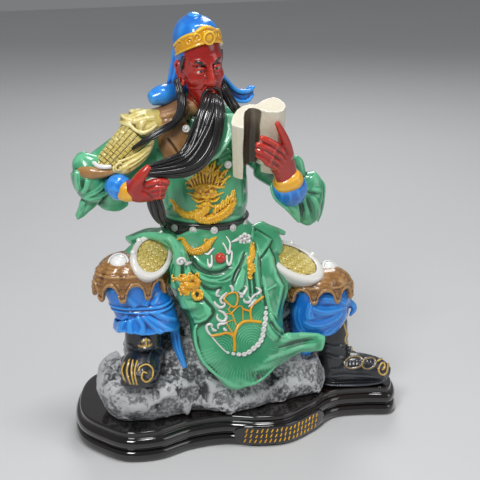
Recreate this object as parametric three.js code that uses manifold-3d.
// A painted composite statue of a seated, bearded warrior reading a book, on a rock and a lacquered plinth.
//
// Millimetres, +Z up, the statue's front towards -Y. The origin is the centre of the plinth's underside.
// Three pieces: the plinth, the figure cast in one with its rock, and the book glued into the left hand.
// The figure is a union of lofts. A station of a loft is [x, y, z, half width, half depth]: the first three
// are its place in the figure's own frame, whose z runs from the foot of the rock.
import * as THREE from "three";
import { mergeVertices } from "three/addons/utils/BufferGeometryUtils.js";
import Module from "manifold-3d";

// Driving dimensions
const PLINTH_LENGTH = 324; // along X, over the mouldings
const PLINTH_DEPTH = 188; // along Y, over the mouldings
const PLINTH_HEIGHT = 29;
const PLINTH_FOOT = 11; // height of the lower roll moulding
const PLATE_INSET = 5; // the top plate's edge behind the rolls
const LABEL_PROUD = 1.2; // the label panel in front of the rolls
const LABEL_HEIGHT = 20;
const LABEL_ENDS = [-22, 74]; // along X
const FIGURE_HEIGHT = 370.7; // foot of the rock to the top of the hat
const FIGURE_ACROSS = -5; // the figure's frame from the plinth's middle, along X
const SEAT_GAP = 0.3; // under the rock, and between the hand and the book
const BOOK_HEIGHT = 60;
const LEAF_THICKNESS = 9; // the left half of the open book
const BLOCK_THICKNESS = 17; // the right half, rolled back on itself

const DESIGN_HEIGHT = 370.7; // the figure's stations below are written at this height
const unit = FIGURE_HEIGHT / DESIGN_HEIGHT;
const SMALL = 5; // sides of a thin loft
const ROUND = 8; // sides of a limb

const COLOURS = {
  plinth: { color: 0x0d0a09, roughness: 0.12, metalness: 0 },
  figure: { color: 0x2f8f5b, roughness: 0.3, metalness: 0 },
  book: { color: 0xe6dfc8, roughness: 0.45, metalness: 0 },
};

const wasm = await Module();
wasm.setup();

// Solids from three.js geometry

const vec = (a) => new THREE.Vector3(a[0], a[1], a[2]);

function solid(geometry) {
  geometry.deleteAttribute("normal");
  geometry.deleteAttribute("uv");
  const merged = mergeVertices(geometry, 1e-4);
  return new wasm.Manifold(
    new wasm.Mesh({
      numProp: 3,
      vertProperties: new Float32Array(merged.attributes.position.array),
      triVerts: new Uint32Array(merged.index.array),
    }),
  );
}

function geometryOf(shape) {
  const made = shape.getMesh();
  const positions = new Float32Array(made.numVert * 3);
  for (let i = 0; i < made.numVert; i++)
    positions.set(made.vertProperties.subarray(i * made.numProp, i * made.numProp + 3), i * 3);
  const geometry = new THREE.BufferGeometry();
  geometry.setAttribute("position", new THREE.BufferAttribute(positions, 3));
  geometry.setIndex(new THREE.BufferAttribute(new Uint32Array(made.triVerts), 1));
  return geometry;
}

// Moves a solid along X and Y until the middle of its bounds is over the origin
function centred(shape) {
  const geometry = geometryOf(shape);
  geometry.computeBoundingBox();
  const middle = geometry.boundingBox.getCenter(new THREE.Vector3());
  return shape.translate(-middle.x, -middle.y, 0);
}

function joined(solids) {
  return solids.reduce((all, next) => all.add(next));
}

// A smooth curve through rows of numbers, at t from 0 to 1
function smooth(rows, t) {
  const at = t * (rows.length - 1);
  const i = Math.min(Math.floor(at), rows.length - 2);
  const f = at - i;
  const pick = (n) => rows[Math.max(0, Math.min(rows.length - 1, n))];
  const [a, b, c, d] = [pick(i - 1), pick(i), pick(i + 1), pick(i + 2)];
  return b.map((_, n) => {
    const slope = (c[n] - a[n]) / 2;
    const next = (d[n] - b[n]) / 2;
    const rise = c[n] - b[n];
    return b[n] + slope * f + (3 * rise - 2 * slope - next) * f * f + (slope + next - 2 * rise) * f ** 3;
  });
}

// A closed surface from rings of equal length, with a flat fan over each end
function skin(rings) {
  const sides = rings[0].length;
  const centre = (ring) => ring.reduce((sum, p) => sum.add(p), new THREE.Vector3()).divideScalar(sides);
  const points = [...rings.flat(), centre(rings[0]), centre(rings[rings.length - 1])];
  const foot = rings.length * sides;
  const faces = [];
  for (let r = 0; r < rings.length - 1; r++)
    for (let s = 0; s < sides; s++) {
      const a = r * sides + s;
      const b = r * sides + ((s + 1) % sides);
      faces.push(a, b, b + sides, a, b + sides, a + sides);
    }
  for (let s = 0; s < sides; s++) {
    const top = (rings.length - 1) * sides;
    faces.push(foot, (s + 1) % sides, s);
    faces.push(foot + 1, top + s, top + ((s + 1) % sides));
  }
  const geometry = new THREE.BufferGeometry().setFromPoints(points);
  geometry.setIndex(faces);
  const made = solid(geometry);
  if (made.volume() > 0) return made;
  return solid(geometry.setIndex([...faces].reverse()));
}

// A loft through stations. side is the direction of the half widths, power squares the section off,
// wave(angle, t) scales the section's radius for folds and locks, and lift(angle, t) raises it.
function loft(stations, { side = [1, 0, 0], sides = ROUND, steps = 1, power = 2, wave = () => 1, lift = () => 0 } = {}) {
  const count = (stations.length - 1) * steps;
  const rings = [];
  for (let r = 0; r <= count; r++) {
    const t = r / count;
    const row = smooth(stations, t);
    const ahead = vec(smooth(stations, Math.min(1, t + 0.02)));
    const tangent = ahead.sub(vec(smooth(stations, Math.max(0, t - 0.02)))).normalize();
    const across = vec(side).addScaledVector(tangent, -vec(side).dot(tangent)).normalize();
    const depth = new THREE.Vector3().crossVectors(tangent, across);
    const ring = [];
    for (let s = 0; s < sides; s++) {
      const angle = (2 * Math.PI * s) / sides;
      const square = (v) => Math.sign(v) * Math.abs(v) ** (2 / power);
      const grow = wave(angle, t);
      ring.push(
        vec(row)
          .addScaledVector(across, Math.max(0.2, row[3]) * square(Math.cos(angle)) * grow)
          .addScaledVector(depth, Math.max(0.2, row[4]) * square(Math.sin(angle)) * grow)
          .add(new THREE.Vector3(0, 0, lift(angle, t))),
      );
    }
    rings.push(ring);
  }
  return skin(rings);
}

function ellipsoid(place, radii, sides = 8) {
  const geometry = new THREE.SphereGeometry(1, sides, sides > 5 ? 4 : 3);
  geometry.scale(...radii);
  geometry.translate(...place);
  return solid(geometry);
}

const ripple = (count, height, phase = 0) => (angle) => 1 + height * Math.cos(count * angle + phase);

// Places a solid made in a frame of its own: turned about Z, then moved
function placed(shape, { at = [0, 0, 0], yaw = 0 }) {
  const move = new THREE.Matrix4().makeRotationZ(yaw).setPosition(...at);
  return shape.transform(move.toArray());
}

// The plinth: a wavy plan with two rolls, a groove and a top plate

const PLAN = [
  [-0.455, -0.36], [-0.395, -0.475], [-0.3, -0.498], [-0.195, -0.435], [-0.095, -0.428], [0, -0.49],
  [0.085, -0.5], [0.185, -0.405], [0.28, -0.292], [0.375, -0.302], [0.455, -0.325], [0.5, -0.18],
  [0.488, 0.1], [0.425, 0.33], [0.3, 0.42], [0.15, 0.478], [0, 0.5], [-0.15, 0.482],
  [-0.3, 0.42], [-0.43, 0.28], [-0.492, 0.03], [-0.5, -0.2],
];
const PLAN_SIDES = 38;
const planCurve = new THREE.CatmullRomCurve3(
  PLAN.map(([x, y]) => new THREE.Vector3(x * PLINTH_LENGTH, y * PLINTH_DEPTH, 0)),
  true,
  "centripetal",
);

// The plan moved inwards by an inset, at height z
function planRing(inset, z, from = 0, to = 1, sides = PLAN_SIDES) {
  const ring = [];
  for (let s = 0; s < sides; s++) {
    const t = (from + ((to - from) * s) / sides + 1) % 1;
    const p = planCurve.getPointAt(t);
    const along = planCurve.getTangentAt(t);
    ring.push(new THREE.Vector3(p.x - along.y * inset, p.y + along.x * inset, z));
  }
  return ring;
}

// The part of the way round the plan at which its front passes an x
function alongFront(x) {
  let [low, high] = [0.02, 0.4];
  for (let i = 0; i < 30; i++) {
    const middle = (low + high) / 2;
    if (planCurve.getPointAt(middle).x < x) low = middle;
    else high = middle;
  }
  return low;
}

// Insets of a half-round roll between two heights
function roll(low, high, bulge, foot) {
  const rows = [];
  for (let i = 0; i <= 3; i++) {
    const angle = (Math.PI * i) / 3;
    rows.push([foot - bulge * Math.sin(angle), low + ((high - low) * (1 - Math.cos(angle))) / 2]);
  }
  return rows;
}

function plinth() {
  const plateLow = PLINTH_HEIGHT - 5;
  const profile = [
    ...roll(0, PLINTH_FOOT, 3.5, 3.5),
    ...roll(PLINTH_FOOT + 1, plateLow - 1, 4.5, 5),
    [PLATE_INSET, plateLow],
    [PLATE_INSET + 0.5, PLINTH_HEIGHT],
  ];
  const body = skin(profile.map(([inset, z]) => planRing(inset, z)));
  // The label panel follows the bulging middle of the front, between the rolls' ends
  const [from, to] = LABEL_ENDS.map(alongFront);
  const columns = 8;
  const middle = (PLINTH_HEIGHT - 5) / 2;
  const rings = [];
  for (let c = 0; c <= columns; c++) {
    const t = from + ((to - from) * c) / columns;
    const p = planCurve.getPointAt(t);
    const along = planCurve.getTangentAt(t);
    const end = Math.sqrt(Math.max(0.04, 1 - Math.abs((2 * c) / columns - 1) ** 10));
    const half = (LABEL_HEIGHT / 2) * end;
    const corner = (inset, z) => new THREE.Vector3(p.x - along.y * inset, p.y + along.x * inset, z);
    rings.push([
      corner(-LABEL_PROUD, middle - half + 1),
      corner(-LABEL_PROUD, middle + half - 1),
      corner(0, middle + half),
      corner(9, middle + half),
      corner(9, middle - half),
      corner(0, middle - half),
    ]);
  }
  return centred(body.add(skin(rings)));
}

// The rock: faceted boulders, each a loft with uneven sides

const uneven = (seed, height) => (angle, t) =>
  1 + height * Math.sin(3 * angle + seed) * Math.cos(5 * angle + 2.3 * seed + 4 * t) + height * 0.5 * Math.sin(7 * angle - seed);

function boulder(stations, seed, sides = 7) {
  return loft(stations, { sides, steps: 1, power: 2.6, wave: uneven(seed, 0.09) });
}

function rock() {
  const foot = -4;
  return joined([
    boulder([[-8, 14, foot, 78, 52], [-8, 14, 40, 75, 50], [-8, 14, 90, 62, 44], [-8, 12, 140, 46, 34]], 1),
    boulder([[-92, -38, foot, 44, 38], [-94, -40, 14, 49, 42], [-96, -42, 32, 45, 40], [-97, -44, 41, 38, 36]], 2),
    boulder([[-118, -22, 20, 21, 23], [-123, -31, 54, 11, 13]], 3),
    boulder([[-50, -34, foot, 34, 34], [-52, -34, 20, 36, 34], [-54, -30, 44, 30, 28], [-56, -26, 66, 20, 20]], 4),
    boulder([[-12, -40, foot, 42, 38], [-12, -40, 12, 44, 38], [-10, -38, 28, 38, 34], [-8, -34, 40, 26, 24]], 5),
    boulder([[44, -28, foot, 44, 40], [46, -28, 16, 46, 38], [52, -28, 34, 36, 28], [58, -28, 44, 20, 18]], 6),
    boulder([[44, -6, 20, 36, 34], [42, -9, 98, 27, 24]], 7),
    boulder([[-78, 10, foot, 34, 34], [-77, 4, 50, 31, 30], [-76, -6, 84, 18, 20]], 8),
  ]);
}

// The body, turned a little to the statue's right

const TURN = THREE.MathUtils.degToRad(-16);
const ACROSS = [Math.cos(TURN), Math.sin(TURN), 0];

function torso() {
  const body = loft(
    [
      [-21, 8, 138, 48, 36], [-22, 6, 165, 39, 32], [-22, 4, 182, 40, 34.5], [-23, 4, 212, 41.5, 35],
      [-24, 6, 241, 42, 31], [-25, 8, 265, 41, 25], [-27, 6, 281, 26, 17], [-28, -2, 294, 11, 12],
    ],
    { side: ACROSS, sides: 12, power: 2.2 },
  );
  const belt = loft([[-22, 5, 167.5, 41.5, 36], [-22, 5, 177.5, 41.5, 36]], {
    side: ACROSS, sides: 12, power: 2.2,
  });
  // The vest: a thick leather front over the right shoulder, open under the arm
  const vest = loft([[-60, -4, 276, 14, 13], [-56, -14, 262, 17, 14], [-50, -20, 246, 17, 11], [-46, -22, 236, 12, 8]], {
    side: ACROSS, sides: 6,
  });
  return joined([body, belt, vest]);
}

// A point on the belly's surface, by its angle from the middle and its height
function onBelly(degrees, z, proud = 0) {
  const angle = THREE.MathUtils.degToRad(degrees - 90);
  const local = new THREE.Vector2((41 + proud) * Math.cos(angle), (35 + proud) * Math.sin(angle));
  local.rotateAround(new THREE.Vector2(0, 0), TURN);
  return [-22 + local.x, 4 + local.y, z];
}

function studs() {
  const places = [-39, -13, 13, 39].map((a) => onBelly(a, 172, 2));
  const made = places.map((p) => ellipsoid(p, [4, 4, 4], 5));
  made.push(ellipsoid([-47, -25, 270], [4.6, 4, 4.6], 5));
  return joined(made);
}

// The relief dragon on the belly: a face with a fan of flames, a coiled body, an arm and a tail
function dragon() {
  const along = (list) => loft(list, { side: [0, 1, 0.01], sides: 5 });
  const on = (rows) => along(rows.map(([degrees, z, wide, deep]) => [...onBelly(degrees, z, 0.5), deep, wide]));
  const flames = [-42, -21, 0, 21, 42].map((a) =>
    on([[a * 0.5, 213, 4.4, 4], [a, 238 - Math.abs(a) * 0.3, 1.2, 2.5]]),
  );
  return joined([
    ...flames,
    ellipsoid(onBelly(0, 212, 0), [13, 6, 5.5], 6),
    on([[-22, 209, 1.5, 3], [0, 205, 4, 6], [22, 209, 1.5, 3]]),
    on([[0, 208, 5, 4], [0, 197, 4.5, 4.5], [-10, 188, 6.5, 5], [0, 181, 5.5, 6], [22, 184, 7, 6], [38, 192, 6, 4], [44, 204, 1.5, 3]]),
    on([[-14, 186, 4, 4], [-36, 192, 3.5, 3.5], [-58, 209, 3, 3]]),
  ]);
}

// The head looks slightly to the statue's left, and its shape is a plain canon: eyes at half its height
const HEAD = { at: [-28.5, -8, 325], yaw: THREE.MathUtils.degToRad(9) };

function head() {
  const skull = loft(
    [
      [0, -15, -36, 7, 5], [0, -11, -28, 13, 12], [0, -7, -14, 17, 17],
      [0, -3, 4, 19, 20.5], [0, -1, 18, 18.5, 21], [0, 0, 31, 16, 18], [0, 1, 38, 10, 11],
    ],
    { sides: 8, power: 2.15 },
  );
  const nose = loft([[0, -20, 8, 3, 3], [0, -23.5, 0, 3.2, 4], [0, -27, -10, 4.8, 5], [0, -23, -14, 4, 4]], { sides: 5 });
  const ears = [-1, 1].map((s) => ellipsoid([s * 19, 0, -4], [2.8, 5.5, 11], 6));
  const brows = [-1, 1].map((s) =>
    loft([[s * 4, -22.5, 7.5, 2, 2], [s * 9.5, -20.5, 9.5, 2.2, 2.2], [s * 16, -13.5, 8.5, 1.2, 1.2]], { side: [0, 0, 1], sides: 5 }),
  );
  return placed(joined([skull, nose, ...ears, ...brows]), HEAD);
}

// The hat: a soft cap, a band cut in scallops along its top, and a cloth that falls to the back
function hat() {
  const cap = loft(
    [[0, 3, 2, 19.5, 21.5], [0, 3, 14, 21, 23], [0, 4, 30, 20.5, 22.5], [0, 5, 40, 15, 17], [0, 5, 45.7, 6, 8]],
    { sides: 8 },
  );
  const columns = 14;
  const rings = [];
  for (let c = 0; c <= columns; c++) {
    const turn = THREE.MathUtils.degToRad(-130 + (260 * c) / columns);
    const face = (1 + Math.cos(turn)) / 2;
    const low = 6 + 19 * face ** 1.4;
    const high = low + 10 + 3.5 * face + 2.5 * Math.abs(Math.cos(2.5 * turn));
    const at = (grow, z) => {
      const lean = 1 - Math.max(0, z - 22) * 0.008;
      return new THREE.Vector3((20 + grow) * lean * Math.sin(turn), -1 - (22 + grow) * lean * Math.cos(turn), z);
    };
    rings.push([at(-3, low), at(2.4, low), at(2.4, high), at(-3, high)]);
  }
  const cloth = loft(
    [[0, 18, 24, 15, 7], [0, 23, -8, 21, 7], [0, 28, -38, 28, 5.5], [0, 33, -58, 26, 3]],
    { sides: 8, power: 2.6, wave: ripple(6, 0.05) },
  );
  const lobe = loft([[-12, 22, -22, 5, 7], [-26, 20, -27, 7, 8.5], [-37, 19, -29, 7.5, 9], [-45, 18, -29, 3.5, 5]], {
    side: [0, 1, 0], sides: 6,
  });
  const wing = loft([[6, 20, -2, 4, 9], [25, 13, -22, 4, 6], [35, 7, -36, 3, 6], [46, 4, -39, 3, 5.5], [54, 6, -34, 2, 3.5]], {
    side: [0, 1, 0], sides: SMALL,
  });
  return placed(joined([cap, skin(rings), cloth, lobe, wing]), HEAD);
}

function hair() {
  const beard = loft(
    [
      [-26, -30, 305, 8, 7], [-26.5, -37, 299, 10.5, 8.5], [-29, -42, 286, 13.5, 9.5], [-34, -46, 268, 15, 10],
      [-42.5, -50, 252, 13.5, 10], [-55, -52, 243.5, 11, 9], [-76, -54, 240.5, 7.5, 7], [-92, -56, 240, 4, 4],
    ],
    { side: [0.9, 0, -0.45], sides: 10, wave: ripple(6, 0.08) },
  );
  const tail = loft([[-84, -50, 216, 6, 5], [-81, -48, 204, 6, 5], [-77, -46, 193, 4.5, 4], [-73, -44, 185, 1.2, 1.2]], { sides: 5 });
  const leftLock = loft(
    [
      [-48, -8, 312, 3, 3.5], [-51, -14, 303, 4, 4.4], [-55, -28, 283, 4.5, 4.8], [-71, -34, 273, 4.4, 4.4],
      [-89, -34, 266, 3.8, 3.8], [-104, -28, 255, 2, 2],
    ],
    { side: [0.7, 0, -0.7], sides: 5 },
  );
  const rightLock = loft([[-11, -9, 312, 4, 4], [-7, -17, 300, 4, 4], [1, -22, 286, 4.4, 4], [12, -14, 274, 3, 4]], { sides: 5 });
  const moustache = [-1, 1].map((s) =>
    loft([[-25 + s * 3, -34, 310, 1.6, 1.6], [-25 + s * 8, -33, 305, 1.9, 1.9], [-26 + s * 11, -36, 292, 1.5, 1.5]], {
      side: [1, 0, 0.01], sides: 5,
    }),
  );
  return joined([beard, tail, leftLock, rightLock, ...moustache]);
}

// Arms and sleeves

function finger(points, radius) {
  return loft(points.map((p, i) => [...p, radius * (1 - 0.14 * i), radius * (1 - 0.14 * i)]), { side: [0.1, 1, 0.1], sides: 5 });
}

function rightArm() {
  const upper = loft([[-52, 8, 266, 20, 17], [-70, 4, 262, 19, 18], [-95, 2, 250, 16.5, 16], [-122, -1, 234, 15, 15]], {
    side: [0, 1, 0], sides: 7,
  });
  const sleeve = loft(
    [
      [-140, -2, 244, 8, 8], [-133, -6, 235, 17, 16], [-131, -8, 220, 19, 18],
      [-129, -10, 207, 16, 14], [-138, -9, 196, 8, 8], [-147, -5, 185, 1, 1],
    ],
    { sides: 8, power: 2.2, wave: ripple(4, 0.07, 1) },
  );
  const inner = loft([[-114, -8, 218, 15, 16], [-112, -10, 203, 14, 14], [-112, -10, 194, 10, 10], [-112, -9, 190, 4, 4]], { sides: 6 });
  const cuff = loft([[-123, -24, 220, 11, 10], [-118, -31, 221, 13.5, 12], [-112, -37, 220.5, 11, 10]], { side: [0, 0, 1], sides: 7 });
  const band = loft([[-114, -36, 219, 9.5, 9], [-105, -43, 219.5, 9.5, 8.5]], { side: [0, 0, 1], sides: 7 });
  const palm = loft([[-108, -42, 219, 9, 7], [-98, -49, 222, 12, 8], [-87, -54, 222.5, 11.5, 8], [-78, -55, 222, 9, 6]], {
    side: [0, 0, 1], sides: 6,
  });
  const thumb = finger([[-100, -52, 228], [-94, -58, 238], [-89, -58, 247]], 5);
  const fingers = [229, 224, 219, 214.5].map((z, i) => finger([[-90, -57, z], [-80, -61, z + 1], [-72 - i, -57, z + 1.5]], 4.2));
  const underArm = loft([[-46, 0, 250, 17, 21], [-84, -3, 237, 14, 19], [-106, -7, 222, 13, 15]], {
    side: [0, 1, 0], sides: 6,
  });
  return joined([upper, underArm, sleeve, inner, cuff, band, palm, thumb, ...fingers]);
}

function leftArm() {
  const upper = loft([[4, 8, 264, 19, 18], [22, 5, 247, 17, 17], [42, 0, 228, 16, 16], [60, -6, 210, 16, 14]], {
    side: [0, 1, 0], sides: 7,
  });
  const sleeve = loft(
    [
      [60, -8, 217, 17, 11], [66, -11, 204, 29, 17], [70, -15, 192, 25, 16], [75, -17, 181, 19, 13],
      [83, -16, 172, 9, 8], [88, -14, 165, 2, 2],
    ],
    { sides: 8, power: 2.3, wave: ripple(4, 0.08, 2) },
  );
  const point = loft([[56, -24, 196, 13, 10], [59, -28, 184, 8, 7], [64, -30, 170, 1.5, 1.5]], { sides: SMALL });
  const knob = loft([[68, -8, 214, 9, 9], [68, -9, 225, 6, 6], [65, -9, 231, 3, 3]], { sides: SMALL });
  const cuff = loft([[57, -26, 199, 15, 13], [52, -33, 207, 17, 14], [49, -37, 212, 14, 12]], { sides: 7 });
  const band = loft([[51, -35, 210, 13.8, 12], [47, -39.5, 218, 13, 11]], { sides: 7 });
  const palm = loft([[48, -38, 214, 12, 8.5], [43, -43, 226, 12.5, 8], [36, -49, 239, 13, 7.5], [31, -52, 249, 11, 6]], {
    side: [0.8, 0.3, 0.5], sides: 6,
  });
  const fingers = [0, 1, 2, 3].map((i) =>
    finger([[34 - i * 3, -53, 252 - i * 6], [22 - i * 2, -59, 259 - i * 5.4], [12 - i * 0.8, -59, 264 - i * 5.6]], 4.4),
  );
  const thumb = finger([[45, -44, 244], [40, -52, 262], [32, -56, 276]], 5);
  return joined([upper, sleeve, point, knob, cuff, band, palm, thumb, ...fingers]);
}

// Shoulder armour on the right arm: folded cloth, a woven plate with a rolled border, and a lobe below it
function shoulderArmour() {
  const slope = [0.6, -0.1, -0.78];
  return joined([
    loft([[-66, -2, 270, 16, 16], [-78, -4, 271, 17.5, 16], [-90, -4, 269, 15, 13.5], [-102, -1, 265, 7, 9]], {
      side: [0, 1, 0], sides: 7, wave: ripple(5, 0.06),
    }),
    loft([[-84, -11, 270, 12, 9], [-98, -15, 260, 13, 9.5], [-112, -17, 249, 11, 8.5], [-124, -18, 240, 8.5, 6]], {
      side: slope, sides: 7, power: 2.8,
    }),
    loft([[-75, -22, 262, 5, 4.5], [-88, -26, 254, 5, 4.5], [-101, -29, 244, 5, 4.5], [-114, -28, 235, 5, 4.5]], { side: slope, sides: SMALL }),
    ellipsoid([-129, -15, 233], [15, 9, 5], 6),
  ]);
}

// Legs: a thigh under a rimmed plate, a scalloped knee guard, gathered trousers and a boot

function guard({ at, yaw, radii, crown, edge, drop, lobes }) {
  const sides = lobes * 3;
  const ring = (grow, height) => {
    const made = [];
    for (let s = 0; s < sides; s++) {
      const angle = (2 * Math.PI * s) / sides;
      made.push(new THREE.Vector3(radii[0] * grow * Math.cos(angle), radii[1] * grow * Math.sin(angle), height(angle)));
    }
    return made;
  };
  const scallop = (angle) => edge - drop * (1 - Math.abs(Math.sin((lobes * angle) / 2))) ** 1.3;
  const rings = [[0.66, 1], [1, 0.2]].map(([grow, up]) => ring(grow, () => edge + (crown - edge) * up));
  rings.push(ring(1.04, scallop), ring(0.88, (a) => scallop(a) + 0.6));
  return placed(skin(rings), { at, yaw });
}

function rightLeg() {
  const yaw = THREE.MathUtils.degToRad(14);
  const flare = (angle, t) => (t > 0.9 ? 3 * Math.cos(angle) : 0);
  return joined([
    loft([[-34, 8, 138, 30, 30], [-62, -6, 143, 27, 27], [-90, -26, 139, 25, 24], [-124, -43, 131, 13, 14]], {
      side: [0.5, -0.85, 0], sides: 8,
    }),
    guard({ at: [-104, -37, 0], yaw, radii: [35, 27], crown: 157, edge: 134, drop: 15, lobes: 8 }),
    loft([[-64, -22, 158, 16, 6], [-80, -34, 155, 21, 8], [-94, -42, 152, 20, 8], [-112, -43, 149, 9, 6]], {
      side: [0.42, -0.78, -0.45], sides: 8, power: 2.3,
    }),
    ellipsoid([-116, -43, 154], [10, 8, 5], 6),
    loft(
      [
        [-104, -41, 130, 28, 22], [-102, -44, 111, 21, 17], [-102, -44, 106, 20.5, 16.5],
        [-97, -45, 95, 27, 18.5], [-92, -46, 81, 30, 18],
      ],
      { sides: 10, wave: ripple(6, 0.05), lift: flare },
    ),
    loft([[-66, -45, 84, 7, 4], [-64, -50, 66, 5, 4], [-58, -54, 46, 3, 2.5]], { sides: 5 }),
    loft([[-93, -42, 90, 19, 17], [-94, -44, 70, 18, 16], [-95, -48, 52, 17, 18]], { sides: 7 }),
    loft([[-90, -32, 50, 10, 10], [-94, -46, 53, 15, 14], [-101, -62, 54, 17, 14], [-106, -76, 52, 16, 11], [-109, -85, 50, 10, 6]], {
      sides: 7,
    }),
    ellipsoid([-99, -62, 72], [5, 5, 7], 5),
  ]);
}

function leftLeg() {
  const yaw = THREE.MathUtils.degToRad(-14);
  return joined([
    loft([[-6, 8, 136, 28, 30], [26, -5, 128, 26, 25], [58, -20, 115, 24, 24], [97, -35, 99, 12, 13]], {
      side: [0.5, 0.85, 0], sides: 8,
    }),
    guard({ at: [81, -33, 0], yaw, radii: [34, 26], crown: 127, edge: 108, drop: 13, lobes: 8 }),
    loft([[32, -18, 146, 16, 6], [46, -26, 138, 21, 8], [62, -34, 130, 22, 8], [81, -37, 124, 13, 6]], {
      side: [-0.3, -0.78, -0.5], sides: 8, power: 2.3,
    }),
    ellipsoid([93, -34, 125], [9, 7, 5], 6),
    loft(
      [
        [82, -32, 106, 28, 21], [85, -32, 88, 31, 23], [85, -33, 70, 28, 20], [82, -35, 57, 19, 16],
      ],
      { sides: 10, wave: ripple(6, 0.06, 1), lift: (angle, t) => t * 9 * Math.cos(angle) },
    ),
    loft([[72, -34, 62, 12, 10], [71, -37, 46, 9, 8], [70, -39, 34, 5, 5]], { sides: SMALL }),
    loft([[100, -29, 66, 15, 14], [100, -30, 46, 15.5, 14], [101, -31, 26, 16, 14.5], [102, -32, 12, 17, 14]], { sides: 7 }),
    loft(
      [[89, -28, 9, 8, 8], [99, -31, 12, 13.5, 12.5], [117, -36, 14, 14.5, 14], [134, -40, 13, 13.5, 12.5], [147, -44, 10, 10, 10], [154, -46, 9, 4, 6]],
      { side: [0.22, 0.97, 0], sides: 7 },
    ),
    ellipsoid([114, -38, 46], [4, 3.5, 6], 5),
    ellipsoid([147, -51, 16], [4.5, 3, 6.5], 6),
  ]);
}

// The robe below the belt: a front panel down to its round hem, drapes over both thighs, and the back
function skirt() {
  const panel = loft(
    [
      [-20, -14, 168, 40, 20], [-18, -22, 152, 45, 22], [-14, -34, 131, 53, 24],
      [-7, -48, 98, 46, 22], [-7, -59, 73, 44, 20], [-6, -69, 54, 38, 16], [-6, -77, 40, 23, 11], [-2, -82, 33, 8, 6],
    ],
    { sides: 16, power: 2.5, wave: (angle, t) => 1 + 0.05 * Math.cos(8 * angle) * t },
  );
  const curl = loft(
    [[10, -72, 52, 18, 8], [32, -69, 58, 14.5, 6], [54, -61, 60, 11, 4], [70, -59, 57.5, 8.5, 4], [79, -60, 54, 3.5, 2.5]],
    { side: [0, 0, 1], sides: 6 },
  );
  const rightDrape = loft(
    [[20, -14, 168, 20, 12], [28, -24, 156, 20, 12], [25, -36, 139, 16, 12], [35, -46, 116, 12, 10], [30, -54, 92, 7, 6]],
    { sides: 7, power: 2.4 },
  );
  const corner = loft([[28, -10, 166, 12, 6], [42, -12, 163, 8, 4.5], [54, -12, 158, 2, 2]], { side: [0, 1, 0], sides: 5 });
  const leftDrape = loft(
    [[-90, -16, 159, 4, 4], [-78, -23, 167, 7, 6], [-60, -36, 162, 9, 9],
      [-56, -48, 136, 11, 10], [-53, -56, 108, 8, 8]],
    { side: [0.8, 0.6, 0], sides: 6 },
  );
  const hip = loft([[-50, 2, 168, 18, 8], [-76, -2, 167, 18, 6], [-98, -6, 163, 12, 3.5]], { side: [0, 1, 0], sides: SMALL });
  const back = loft(
    [[-20, 16, 166, 42, 26], [-16, 26, 130, 60, 35], [-12, 34, 84, 64, 34]],
    { sides: 12, power: 2.3, wave: (angle, t) => 1 + 0.04 * Math.cos(8 * angle) * t },
  );
  return joined([panel, curl, rightDrape, corner, leftDrape, hip, back]);
}

// Small raised work on the skirt: a jewel, a crescent, a hanging ornament, a knot and a gold cluster
function skirtRelief() {
  return joined([
    ellipsoid([-20, -43, 147], [6, 6, 6], 6),
    loft([[-55, -32, 168, 3, 3], [-49, -40, 156, 6, 5], [-35, -42, 154, 6, 5], [-25, -40, 163, 3, 3]], {
      side: [0, 1, 0.1], sides: 5,
    }),
    ellipsoid([5, -33, 161], [6, 5, 6], 5),
    loft([[15, -37, 156, 5, 5], [10, -46, 143, 6, 6], [8, -52, 130, 4, 4]], { sides: 5 }),
    loft([[-64, -55, 137, 5, 4], [-54, -58, 131, 8, 5], [-42, -60, 121, 6, 4]], { sides: 5 }),
    ellipsoid([-58, -46, 148], [6, 6, 5], 5),
  ]);
}

// The book: a thick open booklet. Its left half is seen edge on, its right half is rolled back on itself.

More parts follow.
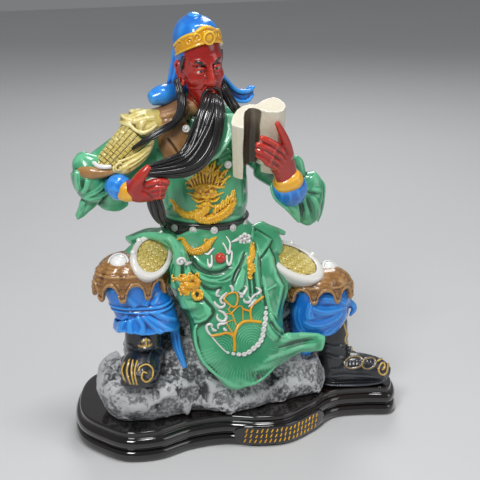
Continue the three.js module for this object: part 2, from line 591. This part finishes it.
function bookShape(grow) {
  const low = -BOOK_HEIGHT / 2 - grow;
  const heights = [0, 0.35, 0.7, 1];
  const leaf = heights.map((h) => {
    const z = low + (BOOK_HEIGHT * 0.87 + 2 * grow) * h;
    return [-8 - 4 * h, -53 + 1.5 * h, z, LEAF_THICKNESS / 2 + 1 + grow, 9 + 2 * h + grow];
  });
  const block = heights.map((h) => {
    const z = low + 9 + (BOOK_HEIGHT * 0.95 + 2 * grow) * h;
    return [19 + 9 * h, -42 + 1 * h, z, 13 + 5 * h + grow, BLOCK_THICKNESS / 2 + grow];
  });
  const spine = heights.map((h) => {
    const z = low + 6 + (BOOK_HEIGHT * 0.86 + 2 * grow) * h;
    return [5 + 2 * h, -44, z, 11 + 3 * h + grow, 4 + grow];
  });
  const lean = (angle, t) => 3 * t * Math.cos(angle);
  return joined([
    loft(leaf, { sides: 8, power: 3.2 }),
    loft(block, { sides: 10, power: 2.4, lift: lean }),
    loft(spine, { sides: 8, power: 3.5, lift: (angle, t) => 4 * t * Math.cos(angle) }),
  ]);
}

const BOOK_CENTRE = 255; // height of the book's middle in the figure's frame

function assemble() {
  const foot = PLINTH_HEIGHT + SEAT_GAP;
  const scaled = (shape) => shape.scale(unit).translate(FIGURE_ACROSS, 0, foot);
  const bookAt = (grow) => bookShape(grow).translate(0, 0, BOOK_CENTRE);
  const whole = joined([
    rock(), torso(), studs(), dragon(), head(), hat(), hair(), rightArm(), leftArm(), shoulderArmour(),
    rightLeg(), leftLeg(), skirt(), skirtRelief(),
  ]);
  const below = new THREE.BoxGeometry(400, 400, 60);
  below.translate(0, 0, -30);
  const figure = scaled(whole.subtract(solid(below)).subtract(bookAt(SEAT_GAP)));
  return { plinth: plinth(), figure, book: scaled(bookAt(0)) };
}

function meshOf(name, shape) {
  const geometry = geometryOf(shape);
  geometry.computeVertexNormals();
  const mesh = new THREE.Mesh(geometry, new THREE.MeshStandardMaterial(COLOURS[name]));
  mesh.name = name;
  return mesh;
}

const statue = new THREE.Group();
for (const [name, shape] of Object.entries(assemble())) statue.add(meshOf(name, shape));

export default statue;
